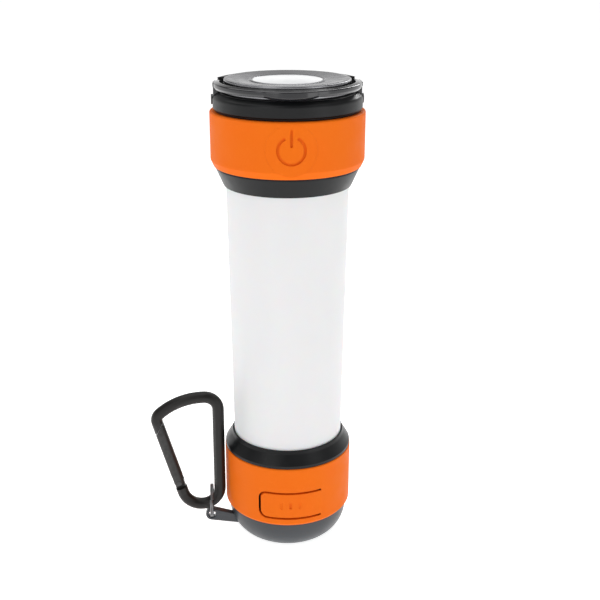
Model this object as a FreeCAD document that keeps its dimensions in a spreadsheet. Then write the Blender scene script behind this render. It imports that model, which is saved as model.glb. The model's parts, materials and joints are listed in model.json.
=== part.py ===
import FreeCAD, Part
import math
import os
import Sketcher
from FreeCAD import Placement, Rotation, Vector

# A hand torch with a lantern tube: spot head on top, frosted tube in the middle, port base below.
# Frame: Z is the long axis, z = 0 is the foot, the button and the port flap face -Y,
# and the carabiner hangs on the -X side. Lengths are millimetres.

doc = FreeCAD.newDocument("lantern_torch")

# ---------------------------------------------------------------- driving dimensions
DRIVING = {
    "total_height": 162.0,       # foot to bezel rim
    "head_radius": 25.0,         # outside of the upper silicone band
    "head_band_low": 134.4,      # lower edge of the upper band
    "head_band_high": 152.0,     # upper edge of the upper band
    "base_radius": 22.3,         # outside of the lower silicone band
    "base_band_low": 11.7,
    "base_band_high": 33.8,
    "band_wall": 1.9,            # thickness of both silicone bands
    "fit_gap": 0.1,              # clearance between fixed parts
    "shell_wall": 2.0,           # moulded plastic walls
    "foot_radius": 14.8,
    "cap_bulge": 11.0,           # radius of the base cap's rounded side
    "tube_top_radius": 20.2,
    "tube_low_radius": 18.9,
    "tube_low": 37.0,            # lower end of the diffuser, inside its collar
    "tube_high": 130.6,          # upper end of the diffuser, inside its collar
    "tube_wall": 1.8,
    "lens_radius": 11.15,        # clear aperture of the spot lamp
    "bezel_rim_radius": 20.25,
    "bezel_foot": 158.0,         # underside of the bezel's flange
    "housing_bore": 19.4,        # bore of the head housing
    "cell_radius": 9.2,          # 18650 lithium cell
    "cell_length": 65.0,
    "core_radius": 12.4,         # white sleeve round the cell
    "core_bore": 10.6,
    "button_height": 143.5,      # button centre
    "button_radius": 7.75,
    "button_travel": 0.6,
    "flap_left": -10.2,
    "flap_right": 10.5,          # the living hinge's edge
    "flap_low": 15.0,
    "flap_high": 24.1,
    "slit": 0.7,                 # open slit round three sides of the flap
    "bail_bore": 21.5,           # inner radius of the hanging bail
    "bail_width": 2.1,
    "bail_low": 158.9,
    "bail_high": 161.3,
    "bail_pivot": 155.4,         # height of the bail's pivot axis
    "pin_radius": 1.0,
    "running_gap": 0.05,         # radial clearance of a pin that turns
    "eye_x": -27.5,              # lanyard eye on the base cap
    "eye_y": -6.0,
    "eye_z": 7.8,
    "eye_radius": 2.3,
    "eye_hole": 1.3,
    "eye_thickness": 2.4,
    "ring_radius": 5.4,          # mean radius of the steel ring
    "ring_wire": 0.6,            # wire radius
    "rod_radius": 2.05,          # carabiner rod
    "bend_x": -31.2,             # centre of the carabiner's lower bend
    "bend_z": 18.6,
    "bend_radius": 6.7,
    "carabiner_top": 54.0,       # centreline height of the top bend
    "top_bend_radius": 4.6,
    "shoulder_radius": 23.5,     # broad arc over the top
    "shoulder_turn": 42.0,       # degrees that the broad arc turns
    "nose_bend_radius": 3.2,
    "screw_radius": 1.2,
}

PORT_FACE = -17.4               # front of the port panel behind the flap

# Blocks whose place follows from nothing else: x, y and z limits.
BLOCKS = {
    "port_slab": ((-10.8, 10.8), (-19.5, -16.6), (14.0, 25.1)),
    "port_recess": ((-9.4, 9.4), (-30, PORT_FACE), (15.2, 23.9)),
    "flap_plug": ((-8.5, 8.1), (-20.5, -18.3), (16.1, 23.0)),
    "flap_hinge_relief": ((8.6, 12), (-19.2, -10), (10, 30)),
    "port_board_plate": ((-13, 13), (-5.1, -3.5), (16.2, 30.0)),
    "power_choke": ((-4, 3), (2, 9), (28.4, 32)),
    "power_chip": ((-11, -6), (-1, 4), (30.4, 32)),
    "harness_notch": ((-4, 4), (8.8, 14), (30, 140)),
    "switch_plate": ((-6, 6), (-14.7, -13.5), (141.9, 149.2)),
    "led_chip": ((-2.5, 2.5), (-2.5, 2.5), (146.4, 147.2)),
    "sink_flat": ((-25, 25), (-25, -13.3), (140, 146)),
    "driver_choke": ((-9, -3), (-4, 2), (134.2, 138)),
    "driver_chip": ((3, 8), (-3, 2), (136.2, 138)),
    "guard_back": ((-30, 30), (7.6, 30), (150, 165)),
    "bail_front": ((-30, 30), (-30, 2.2), (150, 165)),
    "tab_reach": ((-6.2, 6.2), (-30, -15), (150, 165)),
}


class Size:
    """A length that carries its number and the spreadsheet formula behind it."""

    def __init__(self, value, formula):
        self.value = value
        self.formula = formula

    def combined(self, other, sign, value):
        return Size(value, f"({self.formula} {sign} {size(other).formula})")

    def __add__(self, other):
        return self.combined(other, "+", self.value + size(other).value)

    def __sub__(self, other):
        return self.combined(other, "-", self.value - size(other).value)

    def __mul__(self, other):
        return self.combined(other, "*", self.value * size(other).value)

    def __truediv__(self, other):
        return self.combined(other, "/", self.value / size(other).value)

    def __neg__(self):
        return Size(-self.value, f"(0 - {self.formula})")

    def __radd__(self, other):
        return size(other) + self

    def __rsub__(self, other):
        return size(other) - self

    def __rmul__(self, other):
        return size(other) * self


def size(number):
    """Any plain number as a Size, and a Size as itself."""
    return number if isinstance(number, Size) else Size(float(number), f"({float(number)})")


def make_sheet():
    """Write the driving dimensions in a spreadsheet and return them as named Sizes."""
    sheet = doc.addObject("Spreadsheet::Sheet", "Sizes")
    named = {}
    for row, (alias, value) in enumerate(DRIVING.items(), start=1):
        sheet.set(f"A{row}", alias)
        sheet.set(f"B{row}", str(value))
        sheet.setAlias(f"B{row}", alias)
        named[alias] = Size(value, f"Sizes.{alias}")
    doc.recompute()
    return named


class Named:
    """The driving dimensions as attributes."""

    def __init__(self, sizes):
        self.__dict__.update(sizes)


d = Named(make_sheet())
nodes = []


def keep(piece, label):
    """Register a finished sub-part under its node name."""
    piece.Label = label
    nodes.append((label, piece))
    return piece


def bind(piece, prop, length):
    """Set a property and tie it to the spreadsheet."""
    piece.setExpression(prop, size(length).formula)


# ---------------------------------------------------------------- modelling helpers
def add_segment(sketch, start, end, bulge):
    """Draw one outline segment; bulge is the arc's signed radius, positive for a left turn."""
    if bulge is None:
        sketch.addGeometry(Part.LineSegment(Vector(*start, 0), Vector(*end, 0)), False)
        return 1, 2
    chord = Vector(end[0] - start[0], end[1] - start[1], 0)
    rise = math.sqrt(bulge ** 2 - (chord.Length / 2) ** 2)
    left = Vector(-chord.y, chord.x, 0).normalize() * math.copysign(rise, bulge)
    centre = Vector(*start, 0) + chord * 0.5 + left
    low, high = (start, end) if bulge > 0 else (end, start)
    angles = [math.atan2(point[1] - centre.y, point[0] - centre.x) for point in (low, high)]
    if angles[1] < angles[0]:
        angles[1] += 2 * math.pi
    circle = Part.Circle(centre, Vector(0, 0, 1), abs(bulge))
    sketch.addGeometry(Part.ArcOfCircle(circle, *angles), False)
    return (1, 2) if bulge > 0 else (2, 1)


def hold_point(sketch, index, position, axis_name, distance):
    """Fix one coordinate of a corner, on the axis itself where the distance is zero."""
    if axis_name == "DistanceX" and distance.value == 0:
        sketch.addConstraint(Sketcher.Constraint("PointOnObject", index, position, -2))
        return
    if axis_name == "DistanceY" and distance.value == 0:
        sketch.addConstraint(Sketcher.Constraint("PointOnObject", index, position, -1))
        return
    number = sketch.addConstraint(
        Sketcher.Constraint(axis_name, -1, 1, index, position, distance.value))
    sketch.setExpression(f"Constraints[{number}]", distance.formula)


def draw(sketch, outline):
    """Draw a closed outline; a corner is (across, up) or (across, up, arc radius to the next)."""
    corners = [(size(corner[0]), size(corner[1])) for corner in outline]
    bulges = [size(corner[2]) if len(corner) > 2 else None for corner in outline]
    ends = []
    for index, bulge in enumerate(bulges):
        start = [length.value for length in corners[index]]
        end = [length.value for length in corners[(index + 1) % len(corners)]]
        ends.append(add_segment(sketch, start, end, bulge.value if bulge else None))
    for index, (first, last) in enumerate(ends):
        following = (index + 1) % len(ends)
        sketch.addConstraint(
            Sketcher.Constraint("Coincident", index, last, following, ends[following][0]))
        hold_point(sketch, index, first, "DistanceX", corners[index][0])
        hold_point(sketch, index, first, "DistanceY", corners[index][1])
        if bulges[index]:
            number = sketch.addConstraint(
                Sketcher.Constraint("Radius", index, abs(bulges[index].value)))
            sign = "" if bulges[index].value > 0 else "-"
            sketch.setExpression(f"Constraints[{number}]", f"{sign}{bulges[index].formula}")


def body_with_outline(name, plane, outline):
    """A body with one sketch on one of its own origin planes."""
    body = doc.addObject("PartDesign::Body", name)
    sketch = body.newObject("Sketcher::SketchObject", f"{name}_outline")
    origin_plane = [item for item in body.Origin.OriginFeatures if item.Role == plane][0]
    sketch.AttachmentSupport = [(origin_plane, "")]
    sketch.MapMode = "FlatFace"
    draw(sketch, outline)
    return body, sketch


def turned(name, outline):
    """A piece of revolution about Z; the outline's corners are (radius, height)."""
    body, sketch = body_with_outline(name, "XZ_Plane", outline)
    turn = body.newObject("PartDesign::Revolution", f"{name}_turn")
    turn.Profile = sketch
    turn.ReferenceAxis = (sketch, ["V_Axis"])
    turn.Angle = 360
    return body


def place(piece, x, y, z, rotation=None):
    """Put a primitive at a bound position."""
    piece.Placement = Placement(
        Vector(size(x).value, size(y).value, size(z).value), rotation or Rotation())
    for axis, length in zip("xyz", (x, y, z)):
        bind(piece, f"Placement.Base.{axis}", length)
    return piece


def box(name, x_span, y_span, z_span):
    """A block between two bound limits on each axis."""
    block = doc.addObject("Part::Box", name)
    for prop, (low, high) in zip(("Length", "Width", "Height"), (x_span, y_span, z_span)):
        bind(block, prop, size(high) - size(low))
    return place(block, x_span[0], y_span[0], z_span[0])


def block(name):
    """One of the fixed blocks."""
    return box(name, *BLOCKS[name])


TURNED_TO = {
    "x": Rotation(Vector(0, 1, 0), 90),
    "y": Rotation(Vector(1, 0, 0), -90),
    "z": Rotation(),
}


def rod(name, axis, radius, start, length):
    """A cylinder along x, y or z from its start point."""
    cylinder = doc.addObject("Part::Cylinder", name)
    bind(cylinder, "Radius", radius)
    bind(cylinder, "Height", length)
    return place(cylinder, *start, TURNED_TO[axis])


def joined(name, pieces):
    """The union of several pieces."""
    union = doc.addObject("Part::MultiFuse", name)
    union.Shapes = pieces
    return union


def trimmed(name, base, tools):
    """A piece with one or more tools cut away."""
    cut = doc.addObject("Part::Cut", name)
    cut.Base = base
    cut.Tool = tools[0] if len(tools) == 1 else joined(f"{name}_tools", tools)
    return cut


def shared(name, base, tool):
    """The volume that two pieces have in common."""
    common = doc.addObject("Part::Common", name)
    common.Base = base
    common.Tool = tool
    return common


def group(name, pieces):
    """Separate solids kept together as one node."""
    compound = doc.addObject("Part::Compound", name)
    compound.Links = pieces
    return compound


def ring_places(radius, count, first_degrees):
    """Evenly spaced points on a circle."""
    for index in range(count):
        angle = math.radians(first_degrees + 360 * index / count)
        yield index, size(radius) * math.cos(angle), size(radius) * math.sin(angle)


def screw(name, x, y, head_low, head_high, head_radius, shank_low, shank_high):
    """A pan-head screw along Z."""
    head = rod(f"{name}_head", "z", head_radius, (x, y, head_low), head_high - head_low)
    shank = rod(f"{name}_shank", "z", d.screw_radius, (x, y, shank_low), shank_high - shank_low)
    return joined(name, [head, shank])


def wire_coil(name, radius, wire, pitch, length, placement):
    """A wire spring; its helix is swept with Part's own functions."""
    helix = Part.makeHelix(pitch, length, radius)
    section = Part.Wire(Part.makeCircle(wire, Vector(radius, 0, 0), Vector(0, 1, 0)))
    spring = doc.addObject("Part::Feature", name)
    spring.Shape = Part.Wire(helix.Edges).makePipeShell([section], True, True)
    spring.Placement = placement
    return spring


# ---------------------------------------------------------------- base
SCREW_CIRCLE = 10.5
SCREW_START = 90.0
CAP_FLOOR = 2.2                 # thickness of the cap's floor
POST_RADIUS = 3.2
RECESS_TOP = 3.0                # the screw heads sit in recesses this deep in the foot
BOSS_TOP = 15.6                 # top of the housing's screw bosses
ARM_SLOPE = 12.0                # degrees that the lanyard eye's arm leans
ARM_LENGTH = 12.0               # long enough to end inside the cap's wall
ARM_HEIGHT = 3.4
CAP_RIM_GAP = 0.3               # open joint between the cap and the lower band
CAP_LIP = 0.5                   # how far the cap's rim stands out past the housing
POST_LOW = 1.5
THREAD_GAP = 0.05               # radial clearance of a screw in its own bore
HOLE_GAP = 0.15                 # radial clearance of a base screw through the cap
BASE_SCREW = {"head_low": 1.3, "head_high": 3.0, "head_radius": 2.2, "shank_low": 2.9, "shank_high": 15.2}
RECESS_RADIUS = 2.5


def base_cap():
    """Bowl-shaped cap with the foot, three screw posts and the lanyard eye."""
    rim = d.base_band_low - CAP_RIM_GAP
    outer = d.base_radius - d.band_wall + CAP_LIP
    inner_bulge = d.cap_bulge - d.shell_wall
    shell = turned("base_cap_shell", [
        (0, 0), (d.foot_radius, 0, d.cap_bulge), (outer, rim),
        (outer - d.shell_wall, rim, -inner_bulge), (d.foot_radius - 0.6, CAP_FLOOR), (0, CAP_FLOOR)])
    posts = [rod(f"cap_post_{index}", "z", POST_RADIUS, (x, y, POST_LOW), rim - POST_LOW)
             for index, x, y in ring_places(SCREW_CIRCLE, 3, SCREW_START)]
    eye_start = (d.eye_x, d.eye_y - d.eye_thickness / 2, d.eye_z)
    eye = rod("cap_eye", "y", d.eye_radius, eye_start, d.eye_thickness)
    arm = doc.addObject("Part::Box", "cap_eye_arm")
    bind(arm, "Length", ARM_LENGTH)
    bind(arm, "Width", d.eye_thickness)
    bind(arm, "Height", ARM_HEIGHT)
    place(arm, d.eye_x - 0.6, eye_start[1], d.eye_z - 1.6, Rotation(Vector(0, 1, 0), ARM_SLOPE))
    solid = joined("base_cap_solid", [shell, *posts, eye, arm])
    holes = [rod("cap_eye_bore", "y", d.eye_hole, (d.eye_x, d.eye_y - d.eye_thickness, d.eye_z),
                 2 * d.eye_thickness)]
    for index, x, y in ring_places(SCREW_CIRCLE, 3, SCREW_START):
        holes.append(rod(f"cap_recess_{index}", "z", RECESS_RADIUS, (x, y, -1), RECESS_TOP + 1))
        holes.append(rod(f"cap_bore_{index}", "z", d.screw_radius + HOLE_GAP, (x, y, 0), rim + 1))
    keep(trimmed("base_cap_cut", solid, holes), "base_cap")
    screws = [screw(f"base_screw_{index}", x, y, **BASE_SCREW)
              for index, x, y in ring_places(SCREW_CIRCLE, 3, SCREW_START)]
    keep(group("base_screw_set", screws), "base_screws")


SOCKET_FRONT = -17.3
SOCKET_BACK = -5.2
OUT_SOCKET = (-8.6, 4.5, 16.7, 22.4)    # x and z limits of the USB-A shell
IN_SOCKET = (5.6, 8.5, 15.8, 23.3)      # x and z limits of the micro-USB shell, on its side
SOCKET_WALL = 0.3
HOUSING_FLOOR = 1.8             # thickness of the base housing's floor
BOSS_RADIUS = 3.0
BOSS_BORE_LOW = 10.0
BOSS_CLOSED = 0.2               # thickness left above the bore in a boss


def base_housing():
    """Moulded cup that carries the lower band, the port panel and the screw bosses."""
    radius = d.base_radius - d.band_wall - d.fit_gap
    bore = radius - d.shell_wall
    floor_low = d.base_band_low - d.fit_gap
    top = d.base_band_high
    cup = turned("base_cup", [
        (0, floor_low), (radius, floor_low), (radius, top), (bore, top),
        (bore, floor_low + HOUSING_FLOOR), (0, floor_low + HOUSING_FLOOR)])
    limit = rod("port_panel_limit", "z", bore + 0.5, (0, 0, floor_low), 20)
    slab = block("port_slab")
    panel = shared("port_panel", slab, limit)
    bosses = [rod(f"base_boss_{index}", "z", BOSS_RADIUS, (x, y, floor_low + 1), BOSS_TOP - floor_low - 1)
              for index, x, y in ring_places(SCREW_CIRCLE, 3, SCREW_START)]
    solid = joined("base_housing_solid", [cup, panel, *bosses])
    tools = [block("port_recess")]
    for name, (x_low, x_high, z_low, z_high) in (("out", OUT_SOCKET), ("in", IN_SOCKET)):
        tools.append(box(f"{name}_socket_hole", (x_low - d.fit_gap, x_high + d.fit_gap), (-18, -16),
                         (z_low - d.fit_gap, z_high + d.fit_gap)))
    for index, x, y in ring_places(SCREW_CIRCLE, 3, SCREW_START):
        tools.append(rod(f"boss_bore_{index}", "z", d.screw_radius + THREAD_GAP, (x, y, BOSS_BORE_LOW),
                         BOSS_TOP - BOSS_CLOSED - BOSS_BORE_LOW))
    keep(trimmed("base_housing_cut", solid, tools), "base_housing")


def rounded_block(name, x_span, y_span, z_span, corner):
    """A block whose two left-hand corners, seen from the front, are rounded."""
    block = box(f"{name}_block", x_span, y_span, z_span)
    doc.recompute()
    left = size(x_span[0]).value
    edges = [number for number, edge in enumerate(block.Shape.Edges, start=1)
             if all(abs(vertex.X - left) < 0.01 for vertex in edge.Vertexes)
             and abs(edge.Vertexes[0].Y - edge.Vertexes[1].Y) > 1]
    fillet = doc.addObject("Part::Fillet", name)
    fillet.Base = block
    fillet.Edges = [(number, corner, corner) for number in edges]
    return fillet


FLAP_MARKS = (-3.2, 0.0, 3.2)    # centres of the three sunk marks
MARK_WIDTH = 1.2
MARK_DEPTH = 0.6
MARK_SPAN = (17.6, 21.5)


def lower_band_and_flap():
    """Silicone sleeve of the base and the port flap on its living hinge."""
    inner = d.base_radius - d.band_wall
    sleeve = turned("lower_sleeve", [
        (inner, d.base_band_low), (d.base_radius - 0.7, d.base_band_low),
        (d.base_radius, d.base_band_low + 0.9), (d.base_radius, d.base_band_high - 0.3),
        (d.base_radius - 0.3, d.base_band_high), (inner, d.base_band_high)])
    window = rounded_block(
        "flap_window", (d.flap_left - d.slit, d.flap_right + 0.15), (-30, 0),
        (d.flap_low - d.slit, d.flap_high + d.slit), 2.8)
    keep(trimmed("lower_band_cut", sleeve, [window]), "lower_band")
    shell = turned("flap_shell", [
        (inner, d.flap_low - 1), (d.base_radius, d.flap_low - 1),
        (d.base_radius, d.flap_high + 1), (inner, d.flap_high + 1)])
    outline = rounded_block(
        "flap_outline", (d.flap_left, d.flap_right), (-30, 0), (d.flap_low, d.flap_high), 2.2)
    lid = shared("flap_lid", shell, outline)
    plug = block("flap_plug")
    hinge_relief = block("flap_hinge_relief")
    marks = [box(f"flap_mark_{index}", (x - MARK_WIDTH / 2, x + MARK_WIDTH / 2),
                 (-30, -d.base_radius + MARK_DEPTH), MARK_SPAN)
             for index, x in enumerate(FLAP_MARKS)]
    keep(trimmed("flap_marked", joined("flap_solid", [lid, plug]), [*marks, hinge_relief]), "port_flap")


def sockets_and_boards():
    """The two ports, the boards they sit on and the power board above them."""
    for label, (x_low, x_high, z_low, z_high) in (
            ("usb_out", OUT_SOCKET), ("usb_in", IN_SOCKET)):
        shell = box(f"{label}_block", (x_low, x_high), (SOCKET_FRONT, SOCKET_BACK), (z_low, z_high))
        mouth = box(f"{label}_mouth", (x_low + SOCKET_WALL, x_high - SOCKET_WALL),
                    (SOCKET_FRONT - 1, SOCKET_BACK - 1), (z_low + SOCKET_WALL, z_high - SOCKET_WALL))
        keep(trimmed(f"{label}_cut", shell, [mouth]), f"{label}_shell")
    keep(box("out_tongue", (OUT_SOCKET[0] + 0.7, OUT_SOCKET[1] - 0.7), (-16.4, SOCKET_BACK - 1),
             (OUT_SOCKET[3] - 2.6, OUT_SOCKET[3] - 0.8)), "usb_out_tongue")
    keep(box("in_tongue", (IN_SOCKET[0] + 1.1, IN_SOCKET[1] - 1.1), (-16.6, SOCKET_BACK - 1),
             (IN_SOCKET[2] + 1.2, IN_SOCKET[3] - 1.2)), "usb_in_tongue")
    keep(block("port_board_plate"), "port_board")
    disc = rod("power_board_disc", "z", 16.0, (0, 0, 31.6), 1.6)
    parts = [
        block("power_choke"),
        rod("power_capacitor", "z", 2.5, (8, 2, 26.5), 6),
        block("power_chip"),
    ]
    keep(joined("power_board_solid", [disc, *parts]), "power_board")


COLLAR_BORE = 10.4              # bore of both collars' floors
LOWER_LIP = 39.4                # top of the lower collar
SEAL_THICK = 0.8
SPIGOT_LOW = 30.0
SPIGOT = (16.4, 18.1)           # inside and outside radius of the lower collar's spigot


def lower_collar():
    """Cone-shaped collar that seats the lower end of the diffuser."""
    seat = d.tube_low_radius + 0.15
    lip = d.base_radius - 0.2
    low = d.base_band_high + 0.1
    keep(turned("lower_collar", [
        (SPIGOT[0], SPIGOT_LOW), (SPIGOT[1], SPIGOT_LOW), (SPIGOT[1], low), (lip, low), (lip, low + 0.8),
        (seat + 0.5, LOWER_LIP), (seat, LOWER_LIP), (seat, d.tube_low - SEAL_THICK),
        (COLLAR_BORE, d.tube_low - SEAL_THICK), (COLLAR_BORE, 34.6), (SPIGOT[0], 34.6)]), "lower_collar")
    keep(turned("lower_seal", [
        (17.0, d.tube_low - SEAL_THICK), (18.7, d.tube_low - SEAL_THICK),
        (18.7, d.tube_low), (17.0, d.tube_low)]), "lower_seal")


# ---------------------------------------------------------------- lantern tube and core
SLEEVE_LOW = 36.3
SLEEVE_HIGH = 131.3
CELL_LOW = 50.5
CONTACT_THICK = 0.6             # top contact plate
CELL_NUB = 0.7                  # height of the cell's positive end above its can
PLUG_THICK = 5.4
SPRING_WIRE = 0.45
STRIPS = 4
STRIP_THICK = 0.8
LAMPS_PER_STRIP = 7
FIRST_LAMP = 47.0
LAMP_PITCH = 11.5


def diffuser():
    """Frosted tube, slightly wider at the head."""
    keep(turned("diffuser_tube", [
        (d.tube_low_radius - d.tube_wall, d.tube_low), (d.tube_low_radius - 0.03, d.tube_low),
        (d.tube_top_radius + 0.03, d.tube_high),
        (d.tube_top_radius - d.tube_wall, d.tube_high)]), "diffuser_tube")


def core():
    """White sleeve with the cell, its contacts, the end plugs and the harness."""
    keep(turned("core_sleeve", [
        (d.core_bore, SLEEVE_LOW), (d.core_radius, SLEEVE_LOW),
        (d.core_radius, SLEEVE_HIGH), (d.core_bore, SLEEVE_HIGH)]), "core_sleeve")
    cell_top = CELL_LOW + d.cell_length
    keep(turned("battery_cell", [
        (0, CELL_LOW), (d.cell_radius, CELL_LOW), (d.cell_radius, cell_top - 0.6),
        (3.0, cell_top - 0.6), (3.0, cell_top + CELL_NUB), (0, cell_top + CELL_NUB)]), "battery_cell")
    keep(rod("top_contact_plate", "z", 8.8, (0, 0, cell_top + CELL_NUB), CONTACT_THICK), "top_contact")
    notch = block("harness_notch")
    plug_low = cell_top + CELL_NUB + CONTACT_THICK
    upper = rod("upper_plug_disc", "z", d.core_bore - d.fit_gap, (0, 0, plug_low), SLEEVE_HIGH - plug_low)
    keep(trimmed("upper_plug_cut", upper, [notch]), "upper_core_plug")
    lower = rod("lower_plug_disc", "z", d.core_bore - d.fit_gap, (0, 0, SLEEVE_LOW), PLUG_THICK)
    keep(trimmed("lower_plug_cut", lower, [notch]), "lower_core_plug")
    base = Placement(Vector(0, 0, SLEEVE_LOW + PLUG_THICK + SPRING_WIRE + 0.05), Rotation())
    keep(wire_coil("contact_coil", 5.0, SPRING_WIRE, 1.85, 7.4, base), "contact_spring")
    leads = [rod(f"lead_{index}", "z", 0.45, (x, 9.45, 33.2), 104.4)
             for index, x in enumerate((-2.0, 2.0))]
    keep(group("leads", leads), "harness_wires")


def lantern_lights():
    """Four light strips on the sleeve, each with a row of surface-mount LEDs."""
    strips = []
    lamps = []
    for index in range(STRIPS):
        turn = Rotation(Vector(0, 0, 1), 45 + 360 / STRIPS * index)
        strip = doc.addObject("Part::Box", f"strip_{index}")
        bind(strip, "Length", STRIP_THICK)
        bind(strip, "Width", 7.0)
        bind(strip, "Height", 82.0)
        strip.Placement = Placement(turn.multVec(Vector(d.core_radius.value, -3.5, 43.0)), turn)
        strips.append(strip)
        for row in range(LAMPS_PER_STRIP):
            lamp = doc.addObject("Part::Box", f"lamp_{index}_{row}")
            bind(lamp, "Length", 0.7)
            bind(lamp, "Width", 2.8)
            bind(lamp, "Height", 3.5)
            corner = Vector(d.core_radius.value + STRIP_THICK, -1.4, FIRST_LAMP + LAMP_PITCH * row)
            lamp.Placement = Placement(turn.multVec(corner), turn)
            lamps.append(lamp)
    keep(group("strip_set", strips), "light_strips")
    keep(group("lamp_set", lamps), "lantern_leds")


# ---------------------------------------------------------------- head
LEDGE_LOW = 139.9
LEDGE_HIGH = 141.7
HOUSING_TOP = 157.8
HEAT_SINK_TOP = 144.8
LENS_EDGE = 161.45              # height of the lens at its rim
LENS_RISE = 0.4                 # how far the lens crowns above its rim
SINK_SCREW_CIRCLE = 16.2
LED_SCREW_CIRCLE = 7.6
BUTTON_BACK = -22.6             # back of the soft button pad
ACTUATOR_FRONT = -22.55
ACTUATOR_DISC = 0.7             # thickness of the disc behind the pad
OVERTRAVEL = 0.15               # spare depth of the well beyond the button's travel
LED_BOARD = 1.6                 # thickness of the LED board
HEAD_LIP = 128.0                # lower end of the head collar
UPPER_SEAT = 131.4              # top of the upper seal
HOUSING_WALL = 24.0             # outside radius of the housing above the band
SPIGOT_BORE = 20.85             # the head collar's spigot goes in here
LEDGE_BORE = 13.5
LED_SCREW = {"head_low": 146.4, "head_high": 147.7, "head_radius": 2.0, "shank_low": 142.4,
             "shank_high": 146.5}
SINK_SCREW = {"head_low": HEAT_SINK_TOP, "head_high": 146.4, "head_radius": 2.1, "shank_low": 140.0,
              "shank_high": HEAT_SINK_TOP + 0.1}


def head_collar():
    """Cone-shaped collar that seats the upper end of the diffuser."""
    seat = d.tube_top_radius + 0.22
    high = d.head_band_low - 0.1
    keep(turned("head_collar", [
        (seat, HEAD_LIP), (seat + 0.5, HEAD_LIP), (d.head_radius - 1.5, high), (20.7, high),
        (20.7, 137.4), (18.9, 137.4), (18.9, 133.2), (COLLAR_BORE, 133.2), (COLLAR_BORE, UPPER_SEAT),
        (seat, UPPER_SEAT)]), "head_collar")
    keep(turned("upper_seal", [
        (18.5, d.tube_high), (20.1, d.tube_high), (20.1, UPPER_SEAT), (18.5, UPPER_SEAT)]), "upper_seal")


def head_housing():
    """Housing with the lamp bore, the bail recesses, the back guard and the button well."""
    seat = d.head_radius - d.band_wall - d.fit_gap
    low = d.head_band_low
    step = d.head_band_high + d.fit_gap
    shell = turned("housing_shell", [
        (SPIGOT_BORE, low), (seat, low), (seat, step),
        (HOUSING_WALL, step), (HOUSING_WALL, 156.2, 1.8), (HOUSING_WALL - 1.6, HOUSING_TOP),
        (d.housing_bore, HOUSING_TOP), (d.housing_bore, LEDGE_HIGH), (LEDGE_BORE, LEDGE_HIGH),
        (LEDGE_BORE, LEDGE_LOW), (SPIGOT_BORE, LEDGE_LOW)])
    guard = turned("guard_ring", [
        (d.bail_bore, HOUSING_TOP - 0.5), (d.bail_bore + d.bail_width, HOUSING_TOP - 0.5),
        (d.bail_bore + d.bail_width, d.bail_high - 0.7),
        (d.bail_bore + d.bail_width - 0.7, d.bail_high), (d.bail_bore + 0.5, d.bail_high),
        (d.bail_bore, d.bail_high - 0.5)])
    back = block("guard_back")
    solid = joined("housing_solid", [shell, shared("back_guard", guard, back)])
    well_floor = ACTUATOR_FRONT + ACTUATOR_DISC + d.button_travel + OVERTRAVEL
    tools = [
        rod("button_well", "y", d.button_radius + 0.5, (0, -30, d.button_height), well_floor + 30),
        rod("button_hole", "y", 3.2, (0, -30, d.button_height), 14),
        box("switch_room", (-3.8, 3.8), (-19.0, -12), (139, d.button_height + 3)),
    ]
    for side in (-1, 1):
        span = sorted((21.2 * side, 30.0 * side))
        tools.append(box(f"ear_recess_{side + 1}", span, (-3.2, 6.6), (152.9, 165)))
        start = 18.0 if side > 0 else -25.0
        tools.append(rod(f"pin_bore_{side + 1}", "x", d.pin_radius + 0.02, (start, 0, d.bail_pivot), 7))
    for index, x, y in ring_places(SINK_SCREW_CIRCLE, 3, 90):
        tools.append(rod(f"ledge_bore_{index}", "z", d.screw_radius + THREAD_GAP, (x, y, 139), 3))
    keep(trimmed("head_housing_cut", solid, tools), "head_housing")


def upper_band_and_button():
    """Silicone sleeve of the head and the round power button set in it."""
    inner = d.head_radius - d.band_wall
    sleeve = turned("upper_sleeve", [
        (inner, d.head_band_low), (d.head_radius - 1.0, d.head_band_low),
        (d.head_radius, d.head_band_low + 2.2), (d.head_radius, d.head_band_high - 0.4),
        (d.head_radius - 0.4, d.head_band_high), (inner, d.head_band_high)])
    opening = rod("button_opening", "y", d.button_radius + 0.25, (0, -30, d.button_height), 20)
    keep(trimmed("upper_band_cut", sleeve, [opening]), "upper_band")
    full = rod("button_limit", "z", d.head_radius, (0, 0, 130), 30)
    plug = rod("button_plug", "y", d.button_radius, (0, -30, d.button_height), BUTTON_BACK + 30)
    pad = shared("button_pad", plug, full)
    depth = rod("icon_depth", "z", d.head_radius - 0.4, (0, 0, 120), 50)
    keep(trimmed("button_marked", pad, [trimmed("icon_skin", power_icon(), [depth])]), "power_button")
    disc = rod("actuator_disc", "y", 5.0, (0, ACTUATOR_FRONT, d.button_height), ACTUATOR_DISC)
    post = rod("actuator_post", "y", 2.4, (0, ACTUATOR_FRONT + 0.15, d.button_height), 3.0)
    keep(joined("actuator_solid", [disc, post]), "button_actuator")


MARK_OUTER = 4.7                 # outside and inside radius of the on-off mark's ring
MARK_INNER = 3.55


def power_icon():
    """Cutter for the sunk on-off mark: an open ring with a bar through its gap."""
    outer = rod("icon_outer", "y", MARK_OUTER, (0, -30, d.button_height), 12)
    inner = rod("icon_inner", "y", MARK_INNER, (0, -31, d.button_height), 14)
    gap = box("icon_gap", (-1.9, 1.9), (-31, -17), (d.button_height + 1, d.button_height + 6))
    bar = box("icon_bar", (-0.6, 0.6), (-30, -18), (d.button_height + 1.0, d.button_height + 6.6))
    return joined("icon", [trimmed("icon_ring", outer, [inner, gap]), bar])


def switch_parts():
    """Tact switch behind the button, on its own small board."""
    low = d.button_height - 3.1
    keep(box("switch_block", (-3.1, 3.1), (-18.0, -14.7), (low, d.button_height + 3.1)), "tact_switch")
    keep(rod("stem", "y", 1.7, (0, -19.35, d.button_height), 0.7), "switch_stem")
    keep(block("switch_plate"), "switch_board")


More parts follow.
